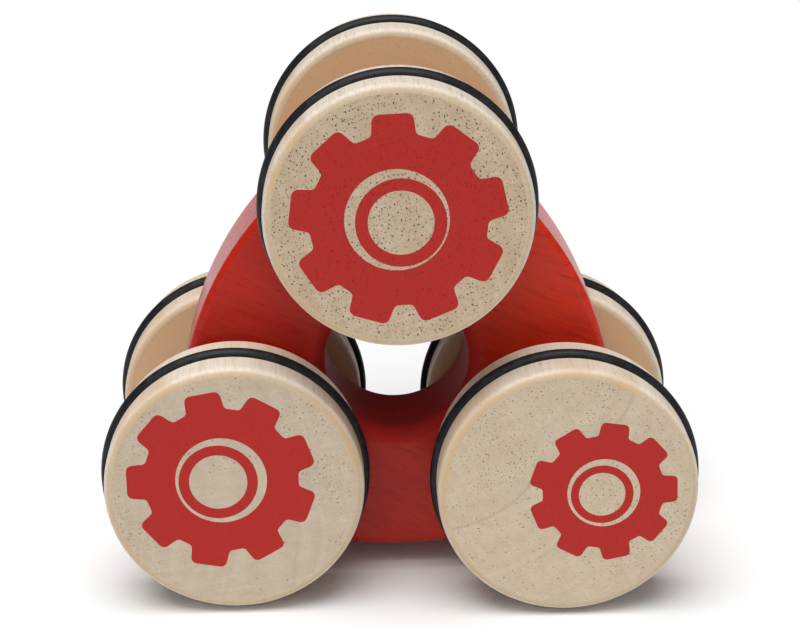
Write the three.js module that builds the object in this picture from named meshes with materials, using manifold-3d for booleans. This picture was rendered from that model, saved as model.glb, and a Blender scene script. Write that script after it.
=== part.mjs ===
// A wooden push toy that rolls on six wheels. A thick plate with a rounded triangular outline and a round
// hand hole carries one wooden axle at each corner. Each axle turns in its bore and has a wheel glued on
// each end, and each wheel has a rubber ring in a groove round its rim.
// Millimetres. X runs across the toy, Y along the axles and Z up. The origin is on the floor, under the
// middle of the plate. Positive Y is the back.

import * as THREE from "three";
import { mergeVertices } from "three/addons/utils/BufferGeometryUtils.js";
import Module from "manifold-3d";

const wasm = await Module();
wasm.setup();

// ---- driving dimensions -------------------------------------------------------------------------------

const axleSpacing = 76.4; // between two axle centres, the same on all three sides
const axleEndPlay = 4.75; // between the frame and the wheel on each side of it, with the axle centred

const wheelRadius = 30;
const wheelWidth = 20;
const wheelEdgeRadius = 2;
const axleSeatDepth = 13; // of the blind hole in a wheel's inner face

const tyreSection = 3.1; // thickness of the rubber ring
const tyreStandOut = 1.4; // how far it stands out of the rim

const axleRadius = 4;
const axleChamfer = 0.8;

const frameThickness = 26;
const frameCornerRadius = 13.5; // of wood round each axle's centre
const frameSideRadius = 81.5; // the sides are bowed outwards
const frameEdgeRadius = 2;
const handHoleRadius = 17;
const handHoleEdgeRadius = 3.8; // at both of its mouths

// How far each axle has slid towards the back along its bore, as the toy stands: a share of the end play.
const topAxleSlide = -0.55;
const leftAxleSlide = 0.55;
const rightAxleSlide = -0.45;

const axleRunningClearance = 0.3; // round the axle, in the frame
const axleSeatClearance = 0.15; // round the axle, in the wheel
const axleEndGap = 0.3; // glue gap at the bottom of the blind hole
const tyreGrooveClearance = 0.25;

// ---- how finely round shapes are cut ------------------------------------------------------------------

const wheelFacets = 40; // a multiple of 4, so that a quarter turn maps a wheel onto itself
const axleFacets = 24;
const handHoleFacets = 48;
const tyreSectionFacets = 8;
const grooveSteps = 4;
const edgeSteps = 2;
const mouthSteps = 3;
const frameCurveSteps = 10; // for each side and each corner

// ---- what follows from them ---------------------------------------------------------------------------

const axleCircleRadius = axleSpacing / Math.sqrt(3); // through the three axle centres
const tyreRadius = wheelRadius + tyreStandOut;
const tyreCentreRadius = tyreRadius - tyreSection / 2;
const floorToAxle = tyreRadius * Math.cos(Math.PI / wheelFacets); // a wheel stands on one of its flats
const frameCentreHeight = floorToAxle + axleCircleRadius / 2;
const wheelInnerFace = frameThickness / 2 + axleEndPlay; // from the plate's middle plane
const wheelMiddle = wheelInnerFace + wheelWidth / 2;
const axleLength = 2 * (wheelInnerFace + axleSeatDepth - axleEndGap);

// ---- materials ----------------------------------------------------------------------------------------

const stainedWood = new THREE.MeshStandardMaterial({ color: 0xb53629, roughness: 0.45, metalness: 0 });
const paleWood = new THREE.MeshStandardMaterial({ color: 0xcdb694, roughness: 0.6, metalness: 0 });
const dowelWood = new THREE.MeshStandardMaterial({ color: 0xd2bb98, roughness: 0.65, metalness: 0 });
const rubber = new THREE.MeshStandardMaterial({ color: 0x2c2a2d, roughness: 0.5, metalness: 0 });

for (const material of [stainedWood, paleWood, dowelWood, rubber]) {
  material.flatShading = true;
}

// ---- solids -------------------------------------------------------------------------------------------

/** A closed geometry as a manifold-3d solid, for cutting. */
function solidFrom(geometry) {
  const bare = geometry.clone().deleteAttribute("normal").deleteAttribute("uv");
  const merged = mergeVertices(bare, 1e-4);
  return new wasm.Manifold(
    new wasm.Mesh({
      numProp: 3,
      vertProperties: new Float32Array(merged.attributes.position.array),
      triVerts: new Uint32Array(merged.index.array),
    }),
  );
}

/** A manifold-3d solid as a geometry. */
function geometryFrom(solid) {
  const mesh = solid.getMesh();
  const geometry = new THREE.BufferGeometry();
  geometry.setAttribute("position", new THREE.BufferAttribute(mesh.vertProperties, 3));
  geometry.setIndex(new THREE.BufferAttribute(mesh.triVerts, 1));
  geometry.computeVertexNormals();
  return geometry;
}

/** Points along a quarter round or any other arc, from one angle to another, both ends included. */
function arcPoints(centreX, centreY, radius, fromAngle, toAngle, steps) {
  return Array.from({ length: steps + 1 }, (_, i) => {
    const angle = fromAngle + ((toAngle - fromAngle) * i) / steps;
    return new THREE.Vector2(centreX + radius * Math.cos(angle), centreY + radius * Math.sin(angle));
  });
}

/** A profile of (radius, place along Y) turned about the Y axis, with a flat at the bottom. */
function turned(profile, facets) {
  return new THREE.LatheGeometry(profile, facets, Math.PI / facets);
}

// ---- frame --------------------------------------------------------------------------------------------

/**
 * The plate's outline about its centre: a round corner about each axle, one of them at the top, and a bowed
 * side that runs tangent into the corners at its ends.
 */
function frameOutline() {
  // The side's arc centre lies beyond the plate's centre. Its distance to an axle is the difference of the
  // two radii, which makes the arcs tangent.
  const centreToCentre = frameSideRadius - frameCornerRadius;
  const sideInset =
    Math.sqrt(centreToCentre ** 2 - 0.75 * axleCircleRadius ** 2) - axleCircleRadius / 2;
  const sideHalfSweep = Math.asin(axleSpacing / 2 / centreToCentre);
  const cornerHalfSweep = Math.PI / 3 - sideHalfSweep;
  const outline = [];
  for (let side = 0; side < 3; side += 1) {
    const sideAngle = Math.PI / 6 + (side * 2 * Math.PI) / 3;
    const cornerAngle = sideAngle + Math.PI / 3;
    outline.push(
      ...arcPoints(
        -sideInset * Math.cos(sideAngle),
        -sideInset * Math.sin(sideAngle),
        frameSideRadius,
        sideAngle - sideHalfSweep,
        sideAngle + sideHalfSweep,
        frameCurveSteps,
      ).slice(0, -1),
      ...arcPoints(
        axleCircleRadius * Math.cos(cornerAngle),
        axleCircleRadius * Math.sin(cornerAngle),
        frameCornerRadius,
        cornerAngle - cornerHalfSweep,
        cornerAngle + cornerHalfSweep,
        frameCurveSteps,
      ).slice(0, -1),
    );
  }
  return new THREE.Shape(outline);
}

/** The cutter for the hand hole, which widens in a quarter round at both faces of the plate. */
function handHoleCutter() {
  const face = frameThickness / 2;
  const mouthRadius = handHoleRadius + handHoleEdgeRadius;
  const mouthCentre = face - handHoleEdgeRadius;
  const profile = [
    new THREE.Vector2(0, -face - 1),
    new THREE.Vector2(mouthRadius, -face - 1),
    ...arcPoints(mouthRadius, -mouthCentre, handHoleEdgeRadius, 1.5 * Math.PI, Math.PI, mouthSteps),
    ...arcPoints(mouthRadius, mouthCentre, handHoleEdgeRadius, Math.PI, 0.5 * Math.PI, mouthSteps),
    new THREE.Vector2(mouthRadius, face + 1),
    new THREE.Vector2(0, face + 1),
  ];
  return solidFrom(turned(profile, handHoleFacets));
}

/** The cutter for one axle bore, at a place in the plate. */
function axleBoreCutter(x, z) {
  const bore = new THREE.CylinderGeometry(
    axleRadius + axleRunningClearance,
    axleRadius + axleRunningClearance,
    frameThickness + 2,
    axleFacets,
  );
  return solidFrom(bore.translate(x, 0, z));
}

/** The plate about its own centre, with its edges eased. */
function frameGeometry() {
  const plate = new THREE.ExtrudeGeometry(frameOutline(), {
    depth: frameThickness - 2 * frameEdgeRadius,
    bevelThickness: frameEdgeRadius,
    bevelSize: frameEdgeRadius,
    bevelOffset: -frameEdgeRadius,
    bevelSegments: edgeSteps,
  });
  plate.translate(0, 0, frameEdgeRadius - frameThickness / 2).rotateX(Math.PI / 2);
  let solid = solidFrom(plate).subtract(handHoleCutter());
  for (const { x, z } of axlePlaces) {
    solid = solid.subtract(axleBoreCutter(x, z));
  }
  return geometryFrom(solid);
}

// ---- one axle with its wheels and tyres ---------------------------------------------------------------

/** A wheel with its outer face towards -Y, a groove round its rim and a blind hole in its inner face. */
function wheelGeometry() {
  const face = wheelWidth / 2;
  const edgeCentreRadius = wheelRadius - wheelEdgeRadius;
  const edgeCentre = face - wheelEdgeRadius;
  const seatRadius = axleRadius + axleSeatClearance;
  const seatBottom = face - axleSeatDepth;
  const grooveRadius = tyreSection / 2 + tyreGrooveClearance;
  const grooveHalfAngle = Math.acos((tyreCentreRadius - wheelRadius) / grooveRadius);
  const profile = [
    new THREE.Vector2(0, -face),
    ...arcPoints(edgeCentreRadius, -edgeCentre, wheelEdgeRadius, -Math.PI / 2, 0, edgeSteps),
    ...arcPoints(
      tyreCentreRadius,
      0,
      grooveRadius,
      Math.PI + grooveHalfAngle,
      Math.PI - grooveHalfAngle,
      grooveSteps,
    ),
    ...arcPoints(edgeCentreRadius, edgeCentre, wheelEdgeRadius, 0, Math.PI / 2, edgeSteps),
    new THREE.Vector2(seatRadius, face),
    new THREE.Vector2(seatRadius, seatBottom),
    new THREE.Vector2(0, seatBottom),
  ];
  return turned(profile, wheelFacets);
}

/** A plain rubber ring of round section. */
function tyreGeometry() {
  const section = arcPoints(
    tyreCentreRadius,
    0,
    tyreSection / 2,
    -Math.PI,
    Math.PI,
    tyreSectionFacets,
  );
  section[tyreSectionFacets].copy(section[0]);
  return turned(section, wheelFacets);
}

/** A dowel along Y with chamfered ends. */
function axleGeometry() {
  const end = axleLength / 2;
  const profile = [
    new THREE.Vector2(0, -end),
    new THREE.Vector2(axleRadius - axleChamfer, -end),
    new THREE.Vector2(axleRadius, -end + axleChamfer),
    new THREE.Vector2(axleRadius, end - axleChamfer),
    new THREE.Vector2(axleRadius - axleChamfer, end),
    new THREE.Vector2(0, end),
  ];
  return new THREE.LatheGeometry(profile, axleFacets);
}

/** An axle with a wheel and a tyre on each end, about the axle's middle. */
function wheelset(name) {
  const group = new THREE.Group();
  group.add(namedMesh(name + "_axle", axleGeometry(), dowelWood));
  for (const [end, side] of [["front", -1], ["back", 1]]) {
    const wheel = namedMesh(`${name}_${end}_wheel`, wheelGeometry(), paleWood);
    const tyre = namedMesh(`${name}_${end}_tyre`, tyreGeometry(), rubber);
    wheel.position.y = side * wheelMiddle;
    wheel.rotation.z = side > 0 ? Math.PI : 0;
    tyre.position.y = wheel.position.y;
    group.add(wheel, tyre);
  }
  return group;
}

function namedMesh(name, geometry, material) {
  const mesh = new THREE.Mesh(geometry, material);
  mesh.name = name;
  return mesh;
}

// ---- assembly -----------------------------------------------------------------------------------------

// Axle places about the plate's centre, one near each corner.
const axlePlaces = [
  { name: "top", x: 0, z: axleCircleRadius, slide: topAxleSlide },
  { name: "left", x: -axleSpacing / 2, z: -axleCircleRadius / 2, slide: leftAxleSlide },
  { name: "right", x: axleSpacing / 2, z: -axleCircleRadius / 2, slide: rightAxleSlide },
];

const toy = new THREE.Group();
toy.position.z = frameCentreHeight;
toy.add(namedMesh("frame", frameGeometry(), stainedWood));
for (const { name, x, z, slide } of axlePlaces) {
  const set = wheelset(name);
  set.position.set(x, slide * axleEndPlay, z);
  toy.add(set);
}

export default toy;
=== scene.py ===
"""A wooden push toy that rolls on six wheels: the fine surface and the finish of every piece.

Metres. X runs across the toy, Y along its axles with the back at positive Y, and Z is up. The origin is on
the floor under the middle of the plate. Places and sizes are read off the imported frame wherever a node's box
gives them, and the rest are the settings in the property groups.
"""

import math

import bmesh
import bpy
import numpy as np
from bpy.props import FloatProperty, FloatVectorProperty, IntProperty, PointerProperty
from mathutils import Euler, Matrix, Vector


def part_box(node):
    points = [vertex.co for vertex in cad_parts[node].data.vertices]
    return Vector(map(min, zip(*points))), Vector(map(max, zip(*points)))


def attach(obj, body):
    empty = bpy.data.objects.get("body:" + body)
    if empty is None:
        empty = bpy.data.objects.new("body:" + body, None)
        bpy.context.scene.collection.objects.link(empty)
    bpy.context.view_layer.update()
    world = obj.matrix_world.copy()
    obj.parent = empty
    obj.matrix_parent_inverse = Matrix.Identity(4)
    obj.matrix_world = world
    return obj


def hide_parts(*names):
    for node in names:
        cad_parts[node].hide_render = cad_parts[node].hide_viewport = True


bl_info = {
    "name": "Triangular Roller Toy",
    "version": (1, 0, 0),
    "blender": (4, 5, 0),
    "location": "View3D > Sidebar > Roller Toy",
    "description": "Makes the wooden plate, wheels, rubber rings and axles of a roller push toy",
    "category": "Object",
}

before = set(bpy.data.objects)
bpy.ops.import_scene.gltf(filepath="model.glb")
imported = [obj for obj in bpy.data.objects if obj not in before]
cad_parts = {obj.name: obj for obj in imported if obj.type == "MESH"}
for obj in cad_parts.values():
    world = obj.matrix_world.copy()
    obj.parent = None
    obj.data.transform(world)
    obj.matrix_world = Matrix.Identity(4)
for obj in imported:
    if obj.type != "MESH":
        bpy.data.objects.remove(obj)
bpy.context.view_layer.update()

MM = 0.001
MERGE_DISTANCE = 1e-7
HOLD = 0.12 * MM  # a row of points this close to an edge keeps the flat beside it evenly shaded

# The corners of the plate, and the ends of each axle with the way that the wheel's outer face looks along Y.
CORNERS = ("top", "left", "right")
ENDS = (("front", -1), ("back", 1))


# ---- measures ----


def middle(node):
    """The centre of a node's box."""
    low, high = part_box(node)
    return np.array((low + high) / 2)


def extent(node):
    """The size of a node's box along X, Y and Z."""
    low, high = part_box(node)
    return np.array(high - low)


def direction(angle):
    """Unit vectors in the X-Z plane at these angles, measured from X towards Z."""
    return np.stack([np.cos(angle), np.sin(angle)], axis=-1)


def in_space(plane, y):
    """Points of the X-Z plane moved to a place along Y."""
    return np.stack([plane[..., 0], np.full(plane.shape[:-1], y), plane[..., 1]], axis=-1)


# ---- meshes ----


def grid_quads(rows, columns):
    """Four corners of each cell between neighbouring rows of a grid whose columns close on themselves."""
    row, column = np.meshgrid(np.arange(rows - 1), np.arange(columns), indexing="ij")
    after = (column + 1) % columns
    corners = [
        row * columns + column,
        row * columns + after,
        (row + 1) * columns + after,
        (row + 1) * columns + column,
    ]
    return np.stack(corners, axis=-1).reshape(-1, 4)


def closed_piece(name, grids, materials, finishes=None):
    """One closed mesh from grids of points that meet edge to edge, each closed round its columns.

    Points at the same place are merged, which also closes the poles, and the faces are turned outwards.
    finishes gives, for a piece of one grid, the material of each strip between two rows.
    """
    starts = np.cumsum([0] + [g.shape[0] * g.shape[1] for g in grids])
    quads = [grid_quads(*g.shape[:2]) + start for g, start in zip(grids, starts)]
    points = np.concatenate([g.reshape(-1, 3) for g in grids])
    mesh = bpy.data.meshes.new(name)
    mesh.from_pydata(points.tolist(), [], np.concatenate(quads).tolist())
    for material in materials:
        mesh.materials.append(material)
    if finishes is not None:
        mesh.polygons.foreach_set("material_index", np.repeat(finishes, grids[0].shape[1]))
    work = bmesh.new()
    work.from_mesh(mesh)
    bmesh.ops.remove_doubles(work, verts=work.verts, dist=MERGE_DISTANCE)
    bmesh.ops.recalc_face_normals(work, faces=work.faces)
    work.to_mesh(mesh)
    work.free()
    mesh.polygons.foreach_set("use_smooth", np.ones(len(mesh.polygons), bool))
    mesh.update()
    piece = bpy.data.objects.new(name, mesh)
    bpy.context.scene.collection.objects.link(piece)
    return piece


def arc(centre, radius, start, end, steps):
    """Points along a circle about centre, at even angles from start to end with both ends."""
    return np.asarray(centre) + radius * direction(np.linspace(start, end, steps + 1))


def stand_for(piece, node, body):
    """The piece takes a node's place: it rides on its body, and the node is hidden."""
    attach(piece, body)
    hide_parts(node)


# ---- the printed gear ----

CORNER_POINTS = 8  # along each rounded corner of a gear


def rounded_corners(corners, rounding, steps):
    """A closed outline through corners, each replaced by a curve that starts and ends a rounding away.

    rounding has one row for each corner. The curve is (1-t)^2 start + 2 t (1-t) corner + t^2 end, with t from
    0 to 1.
    """
    to_previous = np.roll(corners, 1, axis=0) - corners
    to_next = np.roll(corners, -1, axis=0) - corners
    start = corners + rounding * to_previous / np.linalg.norm(to_previous, axis=1, keepdims=True)
    end = corners + rounding * to_next / np.linalg.norm(to_next, axis=1, keepdims=True)
    t = np.linspace(0, 1, steps)[None, :, None]
    curves = (1 - t) ** 2 * start[:, None] + 2 * t * (1 - t) * corners[:, None] + t**2 * end[:, None]
    return curves.reshape(-1, 2)


def gear_outline(tip_radius, first_tooth, settings):
    """The gear's outline about its own centre: flat-topped teeth with rounded corners and roots.

    Each tooth has four corners, at the root, the tip, the tip and the root, at even angles about its middle.
    """
    teeth = np.arange(settings.gear_teeth) * 2 * math.pi / settings.gear_teeth + first_tooth
    root, tip = settings.tooth_root_half_angle, settings.tooth_tip_half_angle
    angles = teeth[:, None] + np.array([-root, -tip, tip, root])
    radii = tip_radius * np.array([settings.root_share, 1, 1, settings.root_share])
    corners = (radii[None, :, None] * direction(angles)).reshape(-1, 2)
    shares = [settings.root_rounding_share, settings.tooth_rounding_share]
    rounding = tip_radius * np.tile([*shares, *shares[::-1]], settings.gear_teeth)[:, None]
    return rounded_corners(corners, rounding, CORNER_POINTS)


# Each printed gear, in shares of the wheel's radius about the wheel's centre, as seen from outside the wheel:
# the middle of the toothed outline, its tip radius, the angle of one tooth, the centre and radius of the pale
# ring, and the centre and the two radii of the red ring inside it, which is printed a little out of line.
GEARS = {
    "top": {
        "middle": (-0.003, -0.012),
        "tip": 0.81,
        "tooth": math.radians(92.9),
        "pale": ((-0.016, -0.010), 0.384),
        "red": ((0.014, -0.031), 0.336, 0.243),
    },
    "left": {
        "middle": (-0.096, 0.091),
        "tip": 0.735,
        "tooth": math.radians(100.1),
        "pale": ((-0.096, 0.091), 0.350),
        "red": ((-0.119, 0.079), 0.303, 0.222),
    },
    "right": {
        "middle": (0.265, 0.002),
        "tip": 0.577,
        "tooth": math.radians(81.8),
        "pale": ((0.267, -0.004), 0.279),
        "red": ((0.255, -0.016), 0.240, 0.178),
    },
}

WOOD, INK = 0, 1  # the two materials of a wheel
RIM_FOLLOWS = 0.2  # how far the rim's points follow the teeth, so that the cells between them don't fold


# ---- the wheels ----

EDGE_STEPS = 10  # round a wheel's edge
SMALL_STEPS = 4  # round the small edges of the groove and the bore
GROOVE_STEPS = 24  # round the groove


def circle_seen_from(point, centre, radius, angles):
    """Where rays from a point inside a circle, at these angles, meet the circle.

    A ray p + s d meets the circle at s = -(q.d) + sqrt((q.d)^2 - |q|^2 + r^2), with q = p - centre.
    """
    ray = direction(angles)
    away = np.asarray(point) - np.asarray(centre)
    along = ray @ away
    reach = -along + np.sqrt(along**2 - away @ away + radius**2)
    return np.asarray(point) + reach[:, None] * ray


def wheel_profile(radius, width, groove, bore, settings):
    """The wheel's section from its outer flat round to the bottom of the blind bore, as (radius, y) points.

    The outer flat is at -width/2. groove is (centre radius, section radius) and bore is (radius, depth).
    """
    face, edge, small = width / 2, settings.wheel_edge_radius, settings.groove_edge_radius
    groove_centre, groove_radius = groove
    bore_radius, bore_depth = bore
    quarter = math.pi / 2
    # A small round between rim and groove: its centre is `small` below the rim, beside the groove's circle.
    rise = groove_centre - (radius - small)
    beside = math.sqrt((groove_radius + small) ** 2 - rise**2)
    turn = math.atan2(beside, -rise)
    return np.concatenate(
        [
            [(radius - edge - HOLD, -face)],
            arc((radius - edge, edge - face), edge, -quarter, 0, EDGE_STEPS),
            [(radius, -beside - HOLD)],
            arc((radius - small, -beside), small, 0, math.pi - turn, SMALL_STEPS),
            arc((groove_centre, 0), groove_radius, -turn, turn - 2 * math.pi, GROOVE_STEPS)[1:-1],
            arc((radius - small, beside), small, turn - math.pi, 0, SMALL_STEPS),
            [(radius, beside + HOLD)],
            arc((radius - edge, face - edge), edge, 0, quarter, EDGE_STEPS),
            [(radius - edge - HOLD, face)],
            [(bore_radius + small + HOLD, face)],
            arc((bore_radius + small, face - small), small, quarter, math.pi, SMALL_STEPS),
            [(bore_radius, face - bore_depth + HOLD)],
            [(bore_radius, face - bore_depth)],
            [(bore_radius - HOLD, face - bore_depth)],
        ]
    )


def wheel_grid(corner, radius, width, groove, bore, settings):
    """Rows of points from the middle of the outer face, out through the print and round the section.

    The rows on the outer face are the print's own outlines, one inside the next, so the ink is part of the
    flat. From the rim on, each row is a circle about the wheel's centre.
    """
    gear = GEARS[corner]
    red_centre, red_outer, red_inner = gear["red"]
    pale_centre, pale_outer = gear["pale"]
    points = settings.gear_teeth * 4 * CORNER_POINTS
    step = 2 * math.pi / points
    even = gear["tooth"] + (np.arange(points) + 0.5 - 2 * CORNER_POINTS) * step
    outline = gear_outline(gear["tip"] * radius, gear["tooth"], settings)
    lag = (np.arctan2(outline[:, 1], outline[:, 0]) - even + math.pi) % (2 * math.pi) - math.pi
    outline += np.asarray(gear["middle"]) * radius
    face_rows = [
        np.tile(np.asarray(red_centre) * radius, (points, 1)),
        np.asarray(red_centre) * radius + red_inner * radius * direction(even),
        np.asarray(red_centre) * radius + red_outer * radius * direction(even),
        np.asarray(pale_centre) * radius + pale_outer * radius * direction(even),
        outline,
    ]
    finishes = [WOOD, INK, WOOD, INK]
    profile = wheel_profile(radius, width, groove, bore, settings)
    rim = circle_seen_from(pale_centre, (0, 0), 1, even + RIM_FOLLOWS * lag)
    body_rows = profile[:, 0, None, None] * rim[None]
    plane = np.concatenate([np.stack(face_rows), body_rows, np.zeros((1, points, 2))])
    heights = np.concatenate([np.full(len(face_rows), -width / 2), profile[:, 1], profile[-1:, 1]])
    grid = np.stack([plane[..., 0], np.repeat(heights[:, None], points, axis=1), plane[..., 1]], axis=-1)
    finishes += [WOOD] * (len(grid) - 1 - len(finishes))
    return grid, np.array(finishes, np.int32)


# ---- the plate ----


class Plate:
    """The plate's outline, in the X-Z plane about its own centre.

    A round corner lies about each axle, and a bowed side runs tangent into the corners at its ends. The
    side's arc is centred beyond the plate's centre, at a distance from each axle that is the difference of
    the two radii.
    """

    SIDE_STEPS = 46
    CORNER_STEPS = 16

    def __init__(self, axle_circle, corner_radius, side_reach):
        self.axle_circle = axle_circle
        self.corner_radius = corner_radius
        half_height = side_reach - axle_circle / 2
        half_spacing = axle_circle * math.sin(math.pi / 3)  # half the distance between two axles
        self.side_radius = (half_height**2 + half_spacing**2 - corner_radius**2) / (
            2 * (half_height - corner_radius)
        )
        between = self.side_radius - corner_radius
        self.side_inset = math.sqrt(between**2 - half_spacing**2) - axle_circle / 2
        self.side_sweep = math.asin(half_spacing / between)
        self.corner_sweep = math.pi / 3 - self.side_sweep

    def sector(self, corner_angle, inset):
        """The outline round one corner, from the middle of one side to the middle of the next."""
        side_radius = self.side_radius - inset
        before, after = corner_angle + math.pi / 3, corner_angle - math.pi / 3
        return np.concatenate(
            [
                arc(
                    -self.side_inset * direction(before),
                    side_radius,
                    before,
                    before - self.side_sweep,
                    self.SIDE_STEPS,
                ),
                arc(
                    self.axle_circle * direction(corner_angle),
                    self.corner_radius - inset,
                    corner_angle + self.corner_sweep,
                    corner_angle - self.corner_sweep,
                    self.CORNER_STEPS,
                )[1:-1],
                arc(
                    -self.side_inset * direction(after),
                    side_radius,
                    after + self.side_sweep,
                    after,
                    self.SIDE_STEPS,
                ),
            ]
        )

    def outline(self, inset):
        """The whole outline, moved inwards by inset, as a closed row without a repeated point."""
        angles = [math.pi / 2 - k * 2 * math.pi / 3 for k in range(3)]
        return np.concatenate([self.sector(angle, inset)[:-1] for angle in angles])


HOLE_STEPS = 48  # round the part of the hand hole that lies in one third of the plate
SPOKE_STEPS = 16  # between the hand hole and the middle of a side
CELL_ROWS = 6  # between an axle's bore and the edge of its third of the plate
OUTER_EDGE_STEPS, HOLE_EDGE_STEPS, BORE_EDGE_STEPS = 8, 12, 3  # round each kind of edge


def face_cell(plate, corner_angle, edge, mouth, bore_radius):
    """One third of a face: rows from an axle's bore out to the hand hole, two spokes and the outline.

    The last row runs along the hand hole, out along one spoke, round the outline and back along the other.
    Each row between is a straight share of the way from the bore to it.
    """
    sixth = math.pi / 3
    hole = arc((0, 0), mouth, corner_angle - sixth, corner_angle + sixth, HOLE_STEPS)
    outline = plate.sector(corner_angle, edge)
    share = np.linspace(0, 1, SPOKE_STEPS + 1)[1:-1, None]
    spoke_out = hole[-1] + share * (outline[0] - hole[-1])
    spoke_back = outline[-1] + share * (hole[0] - outline[-1])
    boundary = np.concatenate([hole, spoke_out, outline, spoke_back])
    axle = plate.axle_circle * direction(corner_angle)
    away = boundary - axle
    circle = axle + bore_radius * away / np.linalg.norm(away, axis=1, keepdims=True)
    rows = np.linspace(0, 1, CELL_ROWS + 1)[:, None, None]
    return circle[None] * (1 - rows) + boundary[None] * rows


def edge_profile(thickness, radius, steps):
    """(inset, y) pairs from one face of a plate round its edge to the other, with a quarter round at each.

    Inset is measured inwards from the wall. A holding pair lies on each face just inside the rounding.
    """
    face = thickness / 2
    quarter = arc((radius, radius - face), radius, -math.pi / 2, -math.pi, steps)
    front = np.concatenate([[(radius + HOLD, -face)], quarter, [(0, radius - face + HOLD)]])
    return np.concatenate([front, front[::-1] * (1, -1)])


def plate_grids(plate, settings, thickness, bore_radius):
    """The grids of the whole plate about its centre: faces, outer edge, hand hole and bores."""
    outer = edge_profile(thickness, settings.plate_edge_radius, OUTER_EDGE_STEPS)
    inner = edge_profile(thickness, settings.hole_edge_radius, HOLE_EDGE_STEPS)
    bore = edge_profile(thickness, settings.bore_edge_radius, BORE_EDGE_STEPS)
    third = 2 * math.pi / 3
    hole_angles = math.pi / 6 + np.arange(3 * HOLE_STEPS) * third / HOLE_STEPS
    grids = [
        np.stack([in_space(plate.outline(inset), y) for inset, y in outer]),
        np.stack(
            [in_space((settings.hole_radius + inset) * direction(hole_angles), y) for inset, y in inner]
        ),
    ]
    for k in range(3):
        angle = math.pi / 2 - k * third
        cell = face_cell(
            plate, angle, outer[0, 0], settings.hole_radius + inner[0, 0], bore_radius + bore[0, 0]
        )
        axle = plate.axle_circle * direction(angle)
        ray = (cell[0] - axle) / (bore_radius + bore[0, 0])
        grids += [in_space(cell, -thickness / 2), in_space(cell, thickness / 2)]
        grids.append(np.stack([in_space(axle + (bore_radius + inset) * ray, y) for inset, y in bore]))
    return grids


# ---- material nodes ----


class Nodes:
    """The node tree of one new material, with short ways to add what its patterns need."""

    def __init__(self, name):
        self.material = bpy.data.materials.new(name)
        self.material.use_nodes = True
        self.tree = self.material.node_tree
        self.tree.nodes.clear()
        self.shader = self.tree.nodes.new("ShaderNodeBsdfPrincipled")
        output = self.tree.nodes.new("ShaderNodeOutputMaterial")
        self.tree.links.new(self.shader.outputs["BSDF"], output.inputs["Surface"])

    def feed(self, socket, value):
        """Links a socket to another node's output, or sets its value."""
        if isinstance(value, bpy.types.NodeSocket):
            self.tree.links.new(value, socket)
        else:
            socket.default_value = value

    def add(self, kind, inputs=None, **settings):
        """A new node with its own settings, its inputs fed by name or number."""
        node = self.tree.nodes.new("ShaderNode" + kind)
        for name, value in settings.items():
            setattr(node, name, value)
        for key, value in (inputs or {}).items():
            self.feed(node.inputs[key], value)
        return node

    def math(self, operation, a, b=0.0):
        """An operation on one or two values."""
        return self.add("Math", {0: a, 1: b}, operation=operation).outputs[0]

    def vector_math(self, operation, a, b=(0.0, 0.0, 0.0)):
        """An operation on one or two vectors, as a node: its result is a vector or, for a length, a value."""
        return self.add("VectorMath", {0: a, 1: b}, operation=operation)

    def mix(self, share, a, b):
        """Colour a with colour b over it, by share."""
        return self.add("Mix", {0: share, 6: a, 7: b}, data_type="RGBA").outputs[2]

    def tint(self, colour, value, low, high, most, over):
        """Lays a second colour over the first as value rises from low to high, up to the share `most`."""
        return self.mix(self.ramp(value, low, high, 0.0, most), colour, over)

    def ramp(self, value, low, high, to_low=0.0, to_high=1.0):
        """A smooth step of value from low to high."""
        inputs = {"Value": value, "From Min": low, "From Max": high, "To Min": to_low, "To Max": to_high}
        return self.add("MapRange", inputs, interpolation_type="SMOOTHSTEP").outputs[0]

    def noise(self, vector, scale, detail=2.0, roughness=0.5, dimensions="3D"):
        """Cloudy values about 0.5. In one dimension, vector is a single value."""
        key = "W" if dimensions == "1D" else "Vector"
        inputs = {key: vector, "Scale": scale, "Detail": detail, "Roughness": roughness}
        return self.add("TexNoise", inputs, noise_dimensions=dimensions).outputs[0]

    def place(self, turn=(0.0, 0.0, 0.0), centre=(0.0, 0.0, 0.0)):
        """Object coordinates in millimetres about a centre, turned."""
        coordinates = self.add("TexCoord").outputs["Object"]
        shift = Euler(turn, "XYZ").to_matrix() @ Vector(centre) / MM
        inputs = {"Vector": coordinates, "Location": -shift, "Rotation": turn, "Scale": (1 / MM,) * 3}
        return self.add("Mapping", inputs).outputs[0]

    def stretched(self, vector, stretch):
        """A pattern's coordinates multiplied along each axis, which draws it out along the small ones."""
        return self.vector_math("MULTIPLY", vector, stretch).outputs[0]

    def bump(self, height, distance, normal=None):
        """A normal tilted by a height pattern that rises by distance, over another normal if one is given."""
        inputs = {"Height": height, "Distance": distance, "Strength": 1.0}
        if normal is not None:
            inputs["Normal"] = normal
        return self.add("Bump", inputs).outputs[0]

    def finish(self, colour, roughness, normal, constants=None):
        """Feeds the shader and returns the material. constants are values that are even all over."""
        self.feed(self.shader.inputs["Base Color"], colour)
        self.feed(self.shader.inputs["Roughness"], roughness)
        self.feed(self.shader.inputs["Normal"], normal)
        for name, value in (constants or {}).items():
            self.shader.inputs[name].default_value = value
        return self.material


def opaque(colour):
    """A colour property with full alpha."""
    return (*colour, 1.0)


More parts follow.
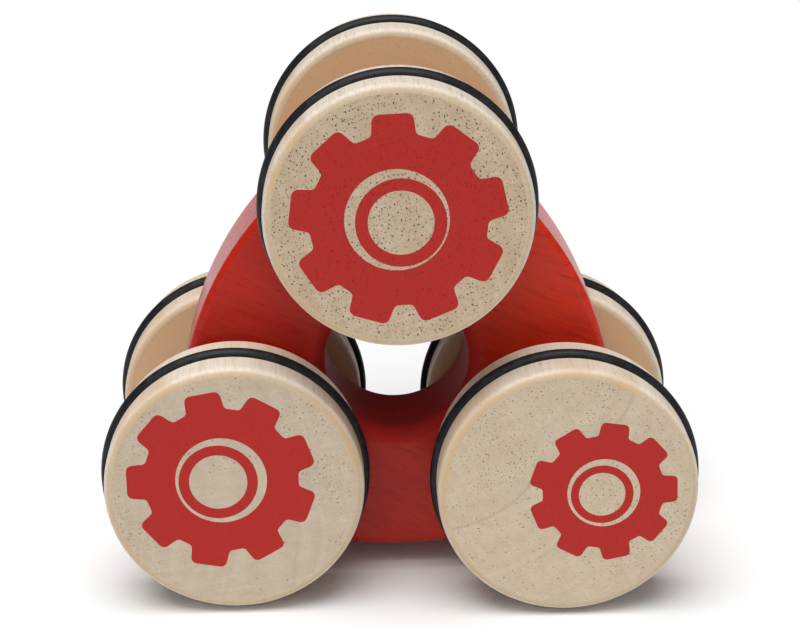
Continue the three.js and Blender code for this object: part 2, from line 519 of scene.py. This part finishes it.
def pores(nodes, grain, cell, density, size):
    """Vessels cut across: dark dots, one in some of the cells of a pattern that is even along the grain.

    cell is the spacing in millimetres, density the share of cells that hold a dot, and size a dot's radius as
    a share of the spacing.
    """
    wobble = nodes.add("TexNoise", {"Vector": grain, "Scale": 0.35, "Detail": 1.0}).outputs[1]
    bent = nodes.vector_math("ADD", grain, wobble).outputs[0]
    cells = nodes.add(
        "TexVoronoi",
        {"Vector": nodes.stretched(bent, (1.12, 0.8, 0.0)), "Scale": 1 / cell},
        voronoi_dimensions="2D",
    )
    of_cell = nodes.add("SeparateColor", {"Color": cells.outputs["Color"]})
    radius = nodes.ramp(of_cell.outputs[0], 0.0, 1.0, size * 0.55, size * 1.35)
    dot = nodes.ramp(cells.outputs["Distance"], nodes.math("MULTIPLY", radius, 0.6), radius, 1.0, 0.0)
    present = nodes.math("LESS_THAN", of_cell.outputs[1], density)
    return nodes.math("MULTIPLY", dot, present)


# ---- settings ----


def length_property(name, description, millimetres):
    """A length whose default is given in millimetres."""
    return FloatProperty(
        name=name, description=description, default=millimetres * MM, min=0.0, unit="LENGTH", precision=4
    )


def colour_property(name, description, colour):
    """A colour whose default is red, green and blue from 0 to 1."""
    return FloatVectorProperty(
        name=name, description=description, default=colour, size=3, min=0.0, max=1.0, subtype="COLOR"
    )


def angle_property(name, description, degrees):
    """An angle whose default is given in degrees."""
    return FloatProperty(
        name=name, description=description, default=math.radians(degrees), subtype="ANGLE", unit="ROTATION"
    )


class PlateSettings(bpy.types.PropertyGroup):
    """Sizes and colours of the plate that carries the axles."""

    plate_edge_radius: length_property("Edge Radius", "Rounding round the outside of the plate", 2.0)
    hole_radius: length_property("Hand Hole Radius", "Radius of the hand hole's wall", 17.0)
    hole_edge_radius: length_property("Hole Mouth Radius", "Rounding of the hand hole at each face", 3.8)
    bore_edge_radius: length_property("Bore Edge Radius", "Rounding of each axle's bore at the faces", 0.4)
    bore_clearance: length_property("Bore Clearance", "Gap round an axle in the plate", 0.3)
    stain: colour_property("Stain", "Red of the stained wood", (0.43, 0.016, 0.006))
    dark_stain: colour_property("Dark Stain", "Red of the darker grain", (0.25, 0.007, 0.004))
    grain_angle: angle_property("Grain Angle", "Turn of the grain from level, down to the right", 23.0)


class WheelSettings(bpy.types.PropertyGroup):
    """Sizes and colours of the wheels and of the gear printed on each."""

    wheel_edge_radius: length_property("Edge Radius", "Rounding between a wheel's face and rim", 2.0)
    groove_clearance: length_property("Groove Clearance", "Gap round the rubber ring in its groove", 0.25)
    groove_edge_radius: length_property("Groove Edge Radius", "Rounding where groove or bore begins", 0.3)
    seat_clearance: length_property("Seat Clearance", "Gap round the axle in its wheel", 0.15)
    seat_depth: length_property("Seat Depth", "Depth of the blind bore in the inner face", 13.0)
    gear_teeth: IntProperty(name="Gear Teeth", description="Teeth on each gear", default=9, min=3, max=40)
    root_share: FloatProperty(
        name="Root Radius", description="Root radius as a share of the tip radius", default=0.81
    )
    tooth_rounding_share: FloatProperty(
        name="Tooth Rounding",
        description="Rounding of a tooth's corners as a share of the tip radius",
        default=0.07,
    )
    root_rounding_share: FloatProperty(
        name="Root Rounding",
        description="Rounding at a tooth's foot as a share of the tip radius",
        default=0.035,
    )
    tooth_tip_half_angle: angle_property("Tip Half Angle", "Half the angle that a tooth's top spans", 10.6)
    tooth_root_half_angle: angle_property("Root Half Angle", "Half the angle that a tooth's foot spans", 14.3)
    ink: colour_property("Ink", "Red of the printed gears", (0.40, 0.019, 0.015))
    rim_wood: colour_property("Rim Wood", "Colour of the side grain round the rim", (0.73, 0.655, 0.56))
    edge_wood: colour_property("Edge Wood", "Colour of the rounded edge", (0.565, 0.45, 0.315))
    warm_wood: colour_property("Warm Wood", "Ochre patches round the rim and its edges", (0.56, 0.39, 0.23))
    # Painted shade: a darker, warmer colour for the inner faces, standing for the shadow of the plate and the
    # other wheel and for light bounced off the red plate.
    shaded_inner_wood: colour_property("Inner Face Wood", "Colour of the bare inner faces", (0.64, 0.41, 0.21))
    pore: colour_property("Pores", "Colour of the open pores", (0.085, 0.055, 0.033))


class TyreSettings(bpy.types.PropertyGroup):
    """Colour of the rubber rings."""

    rubber: colour_property("Rubber", "Colour of the rubber", (0.009, 0.009, 0.011))
    scuffed: colour_property("Scuffed Rubber", "Colour where the rubber is scuffed", (0.026, 0.026, 0.029))


class AxleSettings(bpy.types.PropertyGroup):
    """Sizes and colours of the dowels."""

    chamfer: length_property("Chamfer", "Chamfer at each end of a dowel", 0.8)
    dowel_wood: colour_property("Dowel Wood", "Colour of the dowels", (0.62, 0.48, 0.32))


class StageSettings(bpy.types.PropertyGroup):
    """The camera, the floor and the lights."""

    camera_place: FloatVectorProperty(
        name="Camera Place",
        description="Where the camera stands",
        default=(-0.0130, -0.4884, 0.2348),
        subtype="TRANSLATION",
        unit="LENGTH",
    )
    camera_yaw: angle_property("Camera Yaw", "Turn of the view to the right of straight ahead", 1.661)
    camera_pitch: angle_property("Camera Pitch", "Tilt of the view, down is negative", -19.548)
    camera_roll: angle_property("Camera Roll", "Turn of the view about its own line", -0.469)
    focal_length: FloatProperty(
        name="Focal Length", description="Lens in millimetres on a 36 mm sensor", default=97.1
    )
    floor_size: length_property("Floor Size", "Length of the floor's sides", 12000.0)
    floor: colour_property("Floor", "Colour of the floor", (0.86, 0.86, 0.86))
    sky_strength: FloatProperty(name="Sky Strength", description="Even light from all round", default=0.12)
    overhead_strength: FloatProperty(
        name="Overhead Strength",
        description="Light on a surface that faces the overhead softbox",
        default=3.2,
    )
    front_strength: FloatProperty(
        name="Front Strength",
        description="Light on a surface that faces the front softbox",
        default=0.65,
    )


# ---- materials ----

# For each corner's wheels:
#   colour  of the end grain
#   pores   the least and greatest share of cells that hold a pore
#   bore    a pore's radius as a share of the cells' spacing
#   depth   how dark the pores are
#   turn    of the wood about the axle, in radians
#   pith    how far the tree's middle lies from the wheel's centre, in millimetres
#   season  where a dark line between two seasons crosses the face, from its centre, and how dark it is
#   clear   the middle and radius of a patch with few pores, in millimetres from the wheel's centre
#   warm    the way from the wheel's centre in which its rim is ochre
WHEEL_WOODS = {
    "top": {
        "colour": (0.495, 0.378, 0.252),
        "pores": (0.50, 0.90),
        "bore": 0.160,
        "depth": 0.90,
        "turn": 0.35,
        "pith": 95.0,
        "season": (0.0, 0.0),
        "clear": ((4.0, 24.0), 8.0),
        "warm": (-0.8, -0.5),
    },
    "left": {
        "colour": (0.520, 0.432, 0.326),
        "pores": (0.02, 0.80),
        "bore": 0.145,
        "depth": 0.60,
        "turn": 0.15,
        "pith": 60.0,
        "season": (13.0, 0.10),
        "clear": ((2.0, -13.0), 21.0),
        "warm": (-0.4, 0.6),
    },
    "right": {
        "colour": (0.560, 0.462, 0.332),
        "pores": (0.22, 1.00),
        "bore": 0.128,
        "depth": 0.66,
        "turn": -0.93,
        "pith": 70.0,
        "season": (-5.5, 0.24),
        "clear": ((-8.0, -18.0), 19.0),
        "warm": (-0.9, 0.8),
    },
}
BACK_TURN = 2.4  # the back wheel of a pair is another slice of wood, turned by this much

# Shades that the finishes lay over their main colours.
PALE_BAND = (0.64, 0.545, 0.40, 1.0)
RAY_FLECK = (0.64, 0.55, 0.42, 1.0)
MOTTLED_WOOD = (0.36, 0.255, 0.165, 1.0)
SPECKLED_WOOD = (0.25, 0.19, 0.11, 1.0)
SEASON_LINE = (0.30, 0.20, 0.11, 1.0)
RIM_STREAK = (0.52, 0.37, 0.22, 1.0)
RIM_FIBRE = (0.42, 0.29, 0.17, 1.0)
EDGE_STREAK = (0.46, 0.33, 0.19, 1.0)
THIN_INK = (0.45, 0.026, 0.021, 1.0)
SPECKLED_INK = (0.33, 0.022, 0.022, 1.0)
INKED_PORE = (0.14, 0.012, 0.016, 1.0)
CLOUDY_STAIN = (0.34, 0.013, 0.008, 1.0)
RIGHTWARD_RED = (0.62, 0.034, 0.012, 1.0)
PALE_STREAK = (0.50, 0.040, 0.018, 1.0)
STAINED_FIBRE = (0.18, 0.010, 0.010, 1.0)
STAINED_VESSEL = (0.12, 0.006, 0.008, 1.0)
# painted shade in the hand hole
HOLE_SHADE = (0.31, 0.018, 0.018, 1.0)
DOWEL_STREAK = (0.42, 0.28, 0.16, 1.0)
DOWEL_FIBRE = (0.26, 0.17, 0.09, 1.0)
DUST = (0.12, 0.12, 0.12, 1.0)

LACQUER_GLOSS = {"Specular IOR Level": 0.18}
RUBBER_GLOSS = {"Specular IOR Level": 0.20}


def grain_turn(corner, end):
    """How far a wheel's wood is turned about its axle, in radians."""
    return WHEEL_WOODS[corner]["turn"] + (BACK_TURN if end == "back" else 0.0)


def wheel_grain(nodes, corner, end, centre):
    """A wheel's own coordinates in millimetres: X and Y across its face and Z along its axle."""
    return nodes.place((math.pi / 2, 0.0, grain_turn(corner, end)), centre)


def turned_point(corner, end, x, up):
    """A point of a wheel's face, to the right of and above its centre, in the wheel's own coordinates."""
    turn = grain_turn(corner, end)
    return (
        x * math.cos(turn) + up * math.sin(turn),
        x * math.sin(turn) - up * math.cos(turn),
        0.0,
    )


def end_grain(nodes, grain, corner, end):
    """The growth bands, the line between two seasons and the pores of a wheel, as values from 0 to 1."""
    wood = WHEEL_WOODS[corner]
    flat = nodes.stretched(grain, (1.0, 1.0, 0.0))
    from_pith = nodes.vector_math("ADD", flat, (wood["pith"], 0.0, 0.0)).outputs[0]
    distance = nodes.vector_math("LENGTH", from_pith).outputs["Value"]
    waver = nodes.noise(grain, 0.04, 1.0)
    ring = nodes.math("ADD", distance, nodes.math("MULTIPLY", nodes.math("SUBTRACT", waver, 0.5), 9.0))
    bands = nodes.noise(ring, 0.23, 3.0, 0.6, "1D")
    patches = nodes.noise(nodes.stretched(grain, (1.0, 1.0, 0.1)), 0.075, 2.0)
    varied = nodes.math("ADD", nodes.math("MULTIPLY", bands, 0.9), nodes.math("MULTIPLY", patches, 1.5))
    (x, up), reach = wood["clear"]
    middle_of_clear = turned_point(corner, end, x, up)
    away = nodes.vector_math("LENGTH", nodes.vector_math("SUBTRACT", flat, middle_of_clear).outputs[0])
    outside = nodes.ramp(away.outputs["Value"], 0.75 * reach, 1.15 * reach)
    least, most = wood["pores"]
    crowded = nodes.math("MULTIPLY", nodes.ramp(varied, 1.0, 1.4, 0.0, most - least), outside)
    density = nodes.math("ADD", crowded, least)
    elsewhere = nodes.vector_math("ADD", grain, (31.7, 11.3, 0.0)).outputs[0]
    coarse = pores(nodes, grain, 1.1, density, wood["bore"])
    fine = pores(nodes, elsewhere, 0.8, density, wood["bore"])
    dots = nodes.math("MAXIMUM", coarse, nodes.math("MULTIPLY", fine, 0.7))
    place, strength = wood["season"]
    from_line = nodes.math("ABSOLUTE", nodes.math("SUBTRACT", ring, wood["pith"] + place))
    lines = nodes.ramp(from_line, 0.05, 0.55, strength, 0.0)
    return bands, lines, nodes.math("MULTIPLY", dots, wood["depth"])


def wheel_wood(corner, end, centre, radius, half_width, inner_side, settings):
    """Lacquered end grain on the faces, side grain round the rim and a warm rounded edge.

    inner_side is 1 or -1, for the way that the wheel's inner face looks along the axle. That face is painted
    darker and warmer: painted shade from the plate and the other wheel, with painted light bounced off the red
    plate.
    """
    nodes = Nodes(f"{corner}_{end}_wheel_wood")
    grain = wheel_grain(nodes, corner, end, centre)
    bands, lines, dots = end_grain(nodes, grain, corner, end)
    face = opaque(WHEEL_WOODS[corner]["colour"])
    across = nodes.vector_math("LENGTH", nodes.stretched(grain, (1.0, 1.0, 0.0))).outputs["Value"]
    along = nodes.add("SeparateXYZ", {"Vector": grain}).outputs[2]
    inwards = nodes.math("SUBTRACT", nodes.math("MULTIPLY", along, inner_side), half_width / MM)
    rim_start = (radius - settings.wheel_edge_radius) / MM
    on_edge = nodes.ramp(across, rim_start - 0.15, rim_start + 0.2)
    on_rim = nodes.ramp(across, rim_start + 0.9, rim_start + 1.75)

    mottle = nodes.noise(nodes.stretched(grain, (1.0, 1.0, 0.15)), 0.35, 3.0, 0.55)
    rays = nodes.noise(nodes.stretched(grain, (0.10, 0.75, 0.10)), 1.0, 2.0, 0.5)
    speckle = nodes.noise(nodes.stretched(grain, (1.0, 1.0, 0.2)), 3.2, 2.0, 0.6)
    colour = nodes.tint(face, bands, 0.35, 0.65, 0.30, PALE_BAND)
    colour = nodes.tint(colour, rays, 0.50, 0.72, 0.30, RAY_FLECK)
    colour = nodes.tint(colour, mottle, 0.35, 0.72, 0.20, MOTTLED_WOOD)
    colour = nodes.tint(colour, speckle, 0.45, 0.75, 0.22, SPECKLED_WOOD)
    colour = nodes.mix(lines, colour, SEASON_LINE)
    # Painted shade and painted bounced light on the inner face, which is also kept free of pores.
    inner = nodes.ramp(inwards, -settings.wheel_edge_radius / MM, 0.0, 0.0, 0.80)
    colour = nodes.mix(inner, colour, opaque(settings.shaded_inner_wood))

    streaks = nodes.noise(nodes.stretched(grain, (1.0, 1.0, 0.035)), 1.7, 4.0, 0.7)
    fibres = nodes.noise(nodes.stretched(grain, (1.0, 1.0, 0.05)), 6.5, 2.0, 0.6)
    rim = nodes.tint(opaque(settings.rim_wood), streaks, 0.38, 0.70, 0.42, RIM_STREAK)
    rim = nodes.tint(rim, fibres, 0.5, 0.8, 0.25, RIM_FIBRE)
    edge = nodes.tint(opaque(settings.edge_wood), streaks, 0.40, 0.70, 0.55, EDGE_STREAK)
    towards = turned_point(corner, end, *(np.array(WHEEL_WOODS[corner]["warm"]) * MM / radius))
    side = nodes.vector_math("DOT_PRODUCT", grain, towards).outputs["Value"]
    patchy = nodes.noise(nodes.stretched(grain, (1.0, 1.0, 0.3)), 0.05, 2.0)
    warm = nodes.ramp(nodes.math("ADD", patchy, nodes.math("MULTIPLY", side, 0.16)), 0.46, 0.68, 0.0, 0.85)
    edge = nodes.mix(warm, edge, opaque(settings.warm_wood))
    rim = nodes.mix(nodes.math("MULTIPLY", warm, 0.6), rim, opaque(settings.warm_wood))
    colour = nodes.mix(on_edge, colour, edge)
    colour = nodes.mix(on_rim, colour, rim)

    broken = nodes.noise(nodes.stretched(grain, (1.0, 1.0, 0.5)), 0.8, 1.0)
    dash = nodes.math("MULTIPLY", nodes.ramp(broken, 0.5, 0.62), 0.35)
    shown = nodes.add("Mix", {0: on_edge, 2: nodes.math("SUBTRACT", 1.0, inner), 3: dash}).outputs[0]
    open_pores = nodes.math("MULTIPLY", dots, shown)
    colour = nodes.mix(open_pores, colour, opaque(settings.pore))
    lacquer = nodes.ramp(mottle, 0.3, 0.7, 0.40, 0.50)
    roughness = nodes.math("ADD", lacquer, nodes.math("MULTIPLY", open_pores, 0.3))
    height = nodes.math("SUBTRACT", nodes.math("MULTIPLY", speckle, 0.10), open_pores)
    normal = nodes.bump(height, 0.08 * MM)
    normal = nodes.bump(nodes.math("MULTIPLY", streaks, on_edge), 0.04 * MM, normal)
    return nodes.finish(colour, roughness, normal, LACQUER_GLOSS)


def gear_ink(corner, end, centre, settings):
    """Red ink printed on end grain: the wood's pores show through it, and it is thinner in places."""
    nodes = Nodes(f"{corner}_{end}_gear_ink")
    grain = wheel_grain(nodes, corner, end, centre)
    bands, _, dots = end_grain(nodes, grain, corner, end)
    cover = nodes.noise(grain, 0.9, 3.0, 0.6)
    speckle = nodes.noise(nodes.stretched(grain, (1.0, 1.0, 0.2)), 4.0, 2.0, 0.6)
    colour = nodes.tint(opaque(settings.ink), cover, 0.35, 0.70, 0.35, THIN_INK)
    colour = nodes.tint(colour, speckle, 0.5, 0.8, 0.25, SPECKLED_INK)
    taken = nodes.math("MULTIPLY", dots, nodes.ramp(cover, 0.35, 0.6, 0.20, 0.90))
    colour = nodes.mix(taken, colour, INKED_PORE)
    roughness = nodes.ramp(cover, 0.3, 0.7, 0.42, 0.52)
    normal = nodes.bump(nodes.math("SUBTRACT", nodes.math("MULTIPLY", bands, 0.1), taken), 0.06 * MM)
    return nodes.finish(colour, roughness, normal, LACQUER_GLOSS)


def stained_wood(centre, settings):
    """Side grain under red stain and satin lacquer: long streaks, short vessel lines and a cloudy tone.

    The hand hole's wall has little lacquer, so it is duller, and the wall and the mouth round it are painted
    darker, as painted shade in the hole. The red is brighter towards the right.
    """
    nodes = Nodes("stained_wood")
    grain = nodes.place((0.0, -settings.grain_angle, 0.0), centre)
    cloud = nodes.noise(nodes.stretched(grain, (0.5, 1.0, 1.0)), 0.055, 3.0, 0.55)
    bend = nodes.noise(grain, 0.03, 1.0)
    lift = nodes.add("CombineXYZ", {2: nodes.math("MULTIPLY", bend, 6.0)}).outputs[0]
    flowing = nodes.vector_math("ADD", grain, lift).outputs[0]
    streaks = nodes.noise(nodes.stretched(flowing, (0.07, 0.45, 0.85)), 1.0, 3.0, 0.55)
    fibres = nodes.noise(nodes.stretched(flowing, (0.12, 2.5, 3.6)), 1.0, 3.0, 0.6)
    lines = nodes.add(
        "TexVoronoi", {"Vector": nodes.stretched(flowing, (0.11, 1.1, 1.25)), "Scale": 1.0}
    ).outputs["Distance"]
    vessels = nodes.ramp(lines, 0.06, 0.20, 1.0, 0.0)

    offset = nodes.add("SeparateXYZ", {"Vector": nodes.place((0.0, 0.0, 0.0), centre)})
    colour = nodes.tint(opaque(settings.stain), cloud, 0.35, 0.68, 1.0, CLOUDY_STAIN)
    # The red is brighter towards the right half of the plate.
    colour = nodes.tint(colour, offset.outputs[0], 0.0, 32.0, 0.75, RIGHTWARD_RED)
    colour = nodes.tint(colour, streaks, 0.50, 0.72, 0.38, opaque(settings.dark_stain))
    colour = nodes.mix(nodes.ramp(streaks, 0.28, 0.44, 0.30, 0.0), colour, PALE_STREAK)
    colour = nodes.tint(colour, fibres, 0.5, 0.75, 0.20, STAINED_FIBRE)
    colour = nodes.mix(nodes.math("MULTIPLY", vessels, 0.30), colour, STAINED_VESSEL)
    across = nodes.vector_math("LENGTH", nodes.stretched(grain, (1.0, 0.0, 1.0))).outputs["Value"]
    wall = settings.hole_radius / MM
    dull = nodes.ramp(across, wall + 2.0, wall + 4.5, 0.35, 0.0)
    # Painted shade: the hand hole's wall and the mouth round it are painted darker, most at the wall.
    colour = nodes.mix(nodes.ramp(across, wall + 0.8, wall + 4.2, 0.60, 0.0), colour, HOLE_SHADE)
    roughness = nodes.math("ADD", nodes.ramp(fibres, 0.3, 0.7, 0.24, 0.34), dull)
    height = nodes.math("SUBTRACT", nodes.math("MULTIPLY", fibres, 0.35), vessels)
    normal = nodes.bump(height, 0.045 * MM)
    gloss = nodes.ramp(across, wall + 2.0, wall + 4.5, 0.09, 0.20)
    nodes.feed(nodes.shader.inputs["Specular IOR Level"], gloss)
    return nodes.finish(colour, roughness, normal)


def dowel_wood(corner, centre, settings):
    """Bare sanded side grain that runs along the axle."""
    nodes = Nodes(f"{corner}_dowel_wood")
    grain = nodes.place((0.0, 0.0, 0.0), centre)
    streaks = nodes.noise(nodes.stretched(grain, (1.0, 0.05, 1.0)), 1.4, 4.0, 0.65)
    fibres = nodes.noise(nodes.stretched(grain, (1.0, 0.06, 1.0)), 6.0, 2.0, 0.6)
    colour = nodes.tint(opaque(settings.dowel_wood), streaks, 0.36, 0.70, 1.0, DOWEL_STREAK)
    colour = nodes.tint(colour, fibres, 0.5, 0.8, 0.35, DOWEL_FIBRE)
    roughness = nodes.ramp(streaks, 0.3, 0.7, 0.55, 0.68)
    return nodes.finish(colour, roughness, nodes.bump(fibres, 0.05 * MM))


def ring_rubber(corner, end, centre, settings):
    """Smooth black rubber with a faint moulded texture, dull scuffs and a few specks of dust."""
    nodes = Nodes(f"{corner}_{end}_rubber")
    place = nodes.place((0.0, 0.0, 0.0), centre)
    scuffs = nodes.noise(place, 0.35, 4.0, 0.7)
    texture = nodes.noise(place, 5.0, 3.0, 0.6)
    specks = nodes.add("TexVoronoi", {"Vector": place, "Scale": 0.8}).outputs["Distance"]
    dust = nodes.ramp(specks, 0.05, 0.11, 0.35, 0.0)
    colour = nodes.tint(opaque(settings.rubber), scuffs, 0.42, 0.75, 1.0, opaque(settings.scuffed))
    colour = nodes.mix(dust, colour, DUST)
    roughness = nodes.ramp(scuffs, 0.35, 0.7, 0.36, 0.56)
    return nodes.finish(colour, roughness, nodes.bump(texture, 0.04 * MM), RUBBER_GLOSS)


# ---- operators ----

TYRE_STEPS = 240  # round a rubber ring
SECTION_STEPS = 28  # round its section
AXLE_STEPS = 96  # round a dowel
SOFTBOX_ANGLE = math.radians(50)  # how wide each softbox looks from the toy
OVERHEAD_SIDE = (-0.10, -0.26, 1.0)  # where the overhead softbox stands, from the toy
FRONT_SIDE = (-0.15, -1.0, 0.70)  # where the front softbox stands


class ToyPlate(bpy.types.Operator):
    """Makes the rounded triangular plate with its hand hole and bores"""

    bl_idname = "roller_toy.plate"
    bl_label = "Make Plate"

    def execute(self, context):
        settings = context.scene.roller_plate
        low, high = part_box("frame")
        axles = np.array([middle(f"{corner}_axle") for corner in CORNERS])
        centre = np.array([axles[:, 0].mean(), (low.y + high.y) / 2, axles[:, 2].mean()])
        axle_circle = axles[0, 2] - centre[2]
        plate = Plate(axle_circle, high.z - axles[0, 2], centre[2] - low.z)
        bore_radius = extent("top_axle")[2] / 2 + settings.bore_clearance
        grids = plate_grids(plate, settings, high.y - low.y, bore_radius)
        material = stained_wood(centre, settings)
        piece = closed_piece("frame_wood", [grid + centre for grid in grids], [material])
        stand_for(piece, "frame", "frame")
        return {"FINISHED"}


class ToyWheels(bpy.types.Operator):
    """Makes the six turned wheels, each with its printed gear"""

    bl_idname = "roller_toy.wheels"
    bl_label = "Make Wheels"

    def execute(self, context):
        settings = context.scene.roller_wheels
        for corner in CORNERS:
            seat = (extent(f"{corner}_axle")[2] / 2 + settings.seat_clearance, settings.seat_depth)
            for end, side in ENDS:
                node = f"{corner}_{end}_wheel"
                width, height = extent(node)[1:]
                section = extent(f"{corner}_{end}_tyre")[1] / 2
                ring = extent(f"{corner}_{end}_tyre")[2] / 2 - section
                groove = (ring, section + settings.groove_clearance)
                grid, finishes = wheel_grid(corner, height / 2, width, groove, seat, settings)
                centre = middle(node)
                facing = np.array([-side, -side, 1])  # a back wheel is a front one turned half round Z
                materials = [
                    wheel_wood(corner, end, centre, height / 2, width / 2, -side, settings),
                    gear_ink(corner, end, centre, settings),
                ]
                piece = closed_piece(f"{node}_wood", [grid * facing + centre], materials, finishes)
                stand_for(piece, node, f"{corner}_wheelset")
        return {"FINISHED"}


class ToyTyres(bpy.types.Operator):
    """Makes the rubber ring of each wheel"""

    bl_idname = "roller_toy.tyres"
    bl_label = "Make Rubber Rings"

    def execute(self, context):
        settings = context.scene.roller_tyres
        for corner in CORNERS:
            for end, _ in ENDS:
                node = f"{corner}_{end}_tyre"
                centre, (_, thickness, height) = middle(node), extent(node)
                section = thickness / 2
                around = np.arange(TYRE_STEPS) * 2 * math.pi / TYRE_STEPS
                across = np.linspace(0, 2 * math.pi, SECTION_STEPS + 1)[:, None, None]
                reach = height / 2 - section + section * np.cos(across)
                plane = reach * direction(around)[None]
                depth = np.broadcast_to(section * np.sin(across), plane[..., :1].shape)
                grid = np.concatenate([plane[..., :1], depth, plane[..., 1:]], axis=-1)
                material = ring_rubber(corner, end, centre, settings)
                piece = closed_piece(f"{node}_rubber", [grid + centre], [material])
                stand_for(piece, node, f"{corner}_wheelset")
        return {"FINISHED"}


class ToyAxles(bpy.types.Operator):
    """Makes the three dowels that the wheels are glued to"""

    bl_idname = "roller_toy.axles"
    bl_label = "Make Axles"

    def execute(self, context):
        settings = context.scene.roller_axles
        for corner in CORNERS:
            node = f"{corner}_axle"
            centre, (_, length, height) = middle(node), extent(node)
            radius, end, chamfer = height / 2, length / 2, settings.chamfer
            half = [
                (0, end),
                (radius - chamfer - HOLD, end),
                (radius - chamfer, end),
                (radius, end - chamfer),
                (radius, end - chamfer - HOLD),
            ]
            profile = np.array(half + [(r, -y) for r, y in reversed(half)])
            around = direction(np.arange(AXLE_STEPS) * 2 * math.pi / AXLE_STEPS)
            plane = profile[:, 0, None, None] * around[None]
            grid = np.stack(
                [plane[..., 0], np.repeat(profile[:, 1:], AXLE_STEPS, axis=1), plane[..., 1]], axis=-1
            )
            material = dowel_wood(corner, centre, settings)
            piece = closed_piece(f"{node}_dowel", [grid + centre], [material])
            stand_for(piece, node, f"{corner}_wheelset")
        return {"FINISHED"}


class ToyStage(bpy.types.Operator):
    """Sets up the camera, the pale floor and the soft light"""

    bl_idname = "roller_toy.stage"
    bl_label = "Set Up Stage"

    def execute(self, context):
        settings = context.scene.roller_stage
        self.add_camera(context.scene, settings)
        self.add_floor(context.scene, settings)
        self.add_light(context.scene, settings)
        context.scene.view_settings.view_transform = "Standard"
        return {"FINISHED"}

    def add_camera(self, scene, settings):
        data = bpy.data.cameras.new("camera")
        data.sensor_width = 36.0
        data.lens = settings.focal_length
        camera = bpy.data.objects.new("camera", data)
        upright = Euler((math.pi / 2 + settings.camera_pitch, 0.0, -settings.camera_yaw), "XYZ").to_matrix()
        rolled = upright @ Matrix.Rotation(settings.camera_roll, 3, "Z")
        camera.matrix_world = Matrix.Translation(settings.camera_place) @ rolled.to_4x4()
        scene.collection.objects.link(camera)
        scene.camera = camera

    def add_floor(self, scene, settings):
        half = settings.floor_size / 2
        mesh = bpy.data.meshes.new("floor")
        corners = [(-half, -half, 0), (half, -half, 0), (half, half, 0), (-half, half, 0)]
        mesh.from_pydata(corners, [], [(0, 1, 2, 3)])
        nodes = Nodes("floor_paint")
        nodes.shader.inputs["Base Color"].default_value = opaque(settings.floor)
        nodes.shader.inputs["Roughness"].default_value = 0.8
        mesh.materials.append(nodes.material)
        floor = bpy.data.objects.new("floor", mesh)
        scene.collection.objects.link(floor)

    def add_light(self, scene, settings):
        scene.world = bpy.data.worlds.new("sky")
        scene.world.use_nodes = True
        background = scene.world.node_tree.nodes["Background"]
        background.inputs["Color"].default_value = (1.0, 1.0, 1.0, 1.0)
        background.inputs["Strength"].default_value = settings.sky_strength
        self.add_softbox(scene, "overhead", OVERHEAD_SIDE, settings.overhead_strength)
        self.add_softbox(scene, "front", FRONT_SIDE, settings.front_strength)

    def add_softbox(self, scene, name, side, strength):
        """A wide, far light, even over the whole floor, that shines from one side."""
        data = bpy.data.lights.new(name, "SUN")
        data.angle = SOFTBOX_ANGLE
        data.energy = strength
        light = bpy.data.objects.new(name, data)
        light.rotation_euler = (-Vector(side)).to_track_quat("-Z", "Y").to_euler()
        scene.collection.objects.link(light)


# ---- panel and registration ----


class ToyPanel(bpy.types.Panel):
    """Lists the toy's pieces and their settings"""

    bl_idname = "VIEW3D_PT_roller_toy"
    bl_label = "Roller Toy"
    bl_space_type = "VIEW_3D"
    bl_region_type = "UI"
    bl_category = "Roller Toy"

    def draw(self, context):
        for operator, group, _ in PIECES:
            box = self.layout.box()
            box.operator(operator.bl_idname)
            settings = getattr(context.scene, group)
            for name in settings.__annotations__:
                box.prop(settings, name)


# Each operator, in the order that it is called, with the scene property and the group of its settings.
PIECES = (
    (ToyStage, "roller_stage", StageSettings),
    (ToyPlate, "roller_plate", PlateSettings),
    (ToyAxles, "roller_axles", AxleSettings),
    (ToyWheels, "roller_wheels", WheelSettings),
    (ToyTyres, "roller_tyres", TyreSettings),
)


def register():
    for operator, group, settings in PIECES:
        bpy.utils.register_class(settings)
        bpy.utils.register_class(operator)
        setattr(bpy.types.Scene, group, PointerProperty(type=settings))
    bpy.utils.register_class(ToyPanel)


def unregister():
    bpy.utils.unregister_class(ToyPanel)
    for operator, group, settings in reversed(PIECES):
        delattr(bpy.types.Scene, group)
        bpy.utils.unregister_class(operator)
        bpy.utils.unregister_class(settings)


def main():
    register()
    bpy.ops.roller_toy.stage()
    bpy.ops.roller_toy.plate()
    bpy.ops.roller_toy.axles()
    bpy.ops.roller_toy.wheels()
    bpy.ops.roller_toy.tyres()


if __name__ == "__main__":
    main()
